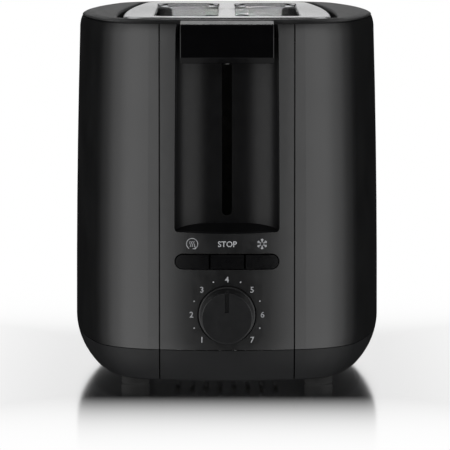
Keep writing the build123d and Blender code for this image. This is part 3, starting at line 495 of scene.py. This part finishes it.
def plane(name, width, height, centre, facing):
    """A flat stage card that faces a point."""
    mesh = bpy.data.meshes.new(name)
    w, h = width / 2, height / 2
    mesh.from_pydata([(-w, -h, 0), (w, -h, 0), (w, h, 0), (-w, h, 0)], [], [(0, 1, 2, 3)])
    card = bpy.data.objects.new(name, mesh)
    bpy.context.scene.collection.objects.link(card)
    card.location = centre
    card.rotation_euler = (Vector(facing) - Vector(centre)).to_track_quat("Z", "Y").to_euler()
    return card


def floor():
    """White floor that mirrors the toaster close by and fades to plain white, for the camera alone."""
    ground = plane("floor", 40, 40, (0, 0, 0), (0, 0, 1))
    material = bpy.data.materials.new("floor")
    material.use_nodes = True
    tree = material.node_tree
    tree.nodes.clear()

    def math_node(operation, first, second=0.0):
        node = tree.nodes.new("ShaderNodeMath")
        node.operation = operation
        for socket, value in zip(node.inputs, (first, second)):
            if isinstance(value, float):
                socket.default_value = value
            else:
                tree.links.new(value, socket)
        return node.outputs[0]

    place = tree.nodes.new("ShaderNodeSeparateXYZ")
    tree.links.new(tree.nodes.new("ShaderNodeTexCoord").outputs["Object"], place.inputs[0])
    half_width, half_length = CAD_BOX[1].x, -PANEL_LOW.y
    beside = math_node("SUBTRACT", math_node("ABSOLUTE", place.outputs["X"]), half_width)
    ahead = math_node("SUBTRACT", math_node("ABSOLUTE", place.outputs["Y"]), half_length)
    gap = math_node("MAXIMUM", math_node("MAXIMUM", beside, ahead), 0.0)
    share = math_node("POWER", math_node("DIVIDE", gap, MIRROR_FADE), MIRROR_FALL)
    fade = math_node("POWER", math.exp(-1), share)
    mirror = tree.nodes.new("ShaderNodeBsdfGlossy")
    mirror.inputs["Color"].default_value = (1, 1, 1, 1)
    mirror.inputs["Roughness"].default_value = 0.12
    white = tree.nodes.new("ShaderNodeEmission")
    mix = tree.nodes.new("ShaderNodeMixShader")
    output = tree.nodes.new("ShaderNodeOutputMaterial")
    tree.links.new(fade, mix.inputs["Fac"])
    tree.links.new(white.outputs[0], mix.inputs[1])
    tree.links.new(mirror.outputs[0], mix.inputs[2])
    tree.links.new(mix.outputs[0], output.inputs["Surface"])
    ground.data.materials.append(material)
    ground.visible_glossy = False
    ground.visible_diffuse = False
    ground.visible_shadow = False
    white_dome(ground)


def white_dome(ground):
    """White surroundings that light only the floor, so that it mirrors white beside the toaster."""
    build = bmesh.new()
    bmesh.ops.create_icosphere(build, subdivisions=2, radius=9)
    mesh = bpy.data.meshes.new("white_dome")
    build.to_mesh(mesh)
    build.free()
    dome = bpy.data.objects.new("white_dome", mesh)
    bpy.context.scene.collection.objects.link(dome)
    mesh.materials.append(emitter("white_dome", (1, 1, 1), 1.0))
    dome.visible_camera = False
    dome.visible_diffuse = False
    dome.visible_shadow = False
    lit = bpy.data.collections.new("lit_by_dome")
    lit.objects.link(ground)
    dome.light_linking.receiver_collection = lit


def softbox(name, azimuth, elevation, distance, width, height, radiance):
    """Rectangular light that faces the toaster. Azimuth 0 is in front of the controls, 90 towards +X."""
    a, e = math.radians(azimuth), math.radians(elevation)
    towards = Vector((math.sin(a) * math.cos(e), -math.cos(a) * math.cos(e), math.sin(e)))
    light = bpy.data.lights.new(name, "AREA")
    light.shape = "RECTANGLE"
    light.size, light.size_y = width, height
    light.energy = radiance * math.pi * width * height
    lamp = bpy.data.objects.new(name, light)
    bpy.context.scene.collection.objects.link(lamp)
    lamp.location = CENTRE + towards * distance
    lamp.rotation_euler = towards.to_track_quat("Z", "Y").to_euler()
    lamp.visible_camera = False
    return lamp


def world_light():
    """White surroundings for the camera, which hardly light the toaster."""
    world = bpy.data.worlds.new("studio")
    bpy.context.scene.world = world
    world.use_nodes = True
    tree = world.node_tree
    background = tree.nodes["Background"]
    background.inputs["Color"].default_value = (1, 1, 1, 1)
    path = tree.nodes.new("ShaderNodeLightPath")
    strength = tree.nodes.new("ShaderNodeMapRange")
    strength.inputs["To Min"].default_value = 0.06
    strength.inputs["To Max"].default_value = 1.0
    tree.links.new(path.outputs["Is Camera Ray"], strength.inputs["Value"])
    tree.links.new(strength.outputs["Result"], background.inputs["Strength"])


def plate_fill():
    """Front light for the top plate alone, which nothing else shades, so that the slot tongues show."""
    lamp = softbox("plate_fill", 0, 4, 1.5, 1.6, 1.1, 0.9)
    lamp.data.cycles.use_multiple_importance_sampling = False
    lit = bpy.data.collections.new("lit_by_plate_fill")
    lit.objects.link(frame["nodes"]["top_plate"])
    lamp.light_linking.receiver_collection = lit
    lamp.light_linking.blocker_collection = lit


def backdrop():
    """Bright card behind the toaster, seen only as its reflection in the top."""
    card = plane("backdrop", 0.8, 0.8, (0, 2.6, 0.62), (0, 0, 0.62))
    card.data.materials.append(emitter("backdrop", (1, 1, 1), 0.8))
    card.visible_camera = False
    card.visible_shadow = False
    card.visible_diffuse = False


def studio():
    """Tall lights on both sides leave the middle of the front dark, with strips above and below."""
    world_light()
    floor()
    for name, side, power in (("left", -1, 1.0), ("right", 1, RIGHT_POWER)):
        for part, azimuth, width, radiance in SIDE_LIGHTS:
            softbox(
                f"{name}_{part}",
                side * azimuth,
                SIDE_ELEVATION,
                SIDE_DISTANCE,
                width,
                SIDE_HEIGHT,
                radiance * power,
            )
        softbox(f"{name}_rear_softbox", side * 145, 42, 1.8, 1.2, 0.9, 0.7 * power)
    softbox("top_softbox", 0, 88, 1.4, 0.5, 0.25, 1.2)
    softbox("front_high_strip", 0, 54, 1.5, 1.6, 0.3, 1.1)
    softbox("front_low_strip", 0, -48, 1.6, 1.2, 0.2, 0.5)
    softbox("floor_bounce", 0, -82, 1.3, 1.6, 1.2, 0.25)
    plate_fill()
    backdrop()


def camera():
    """A long lens, a little above the top of the toaster, looking slightly down at its controls."""
    data = bpy.data.cameras.new("camera")
    data.sensor_width = 36.0
    data.lens = 322.4
    data.clip_end = 60
    eye = bpy.data.objects.new("camera", data)
    bpy.context.scene.collection.objects.link(eye)
    eye.location = (CAMERA_OFFSET, PANEL_LOW.y - CAMERA_DISTANCE, CAMERA_HEIGHT)
    eye.rotation_euler = (math.radians(90 - CAMERA_TILT), 0, 0)
    bpy.context.scene.camera = eye


dress_cad_nodes()
dial_scale()
button_legends()
return_spring()
studio()
camera()
bpy.context.scene.view_settings.view_transform = "Standard"
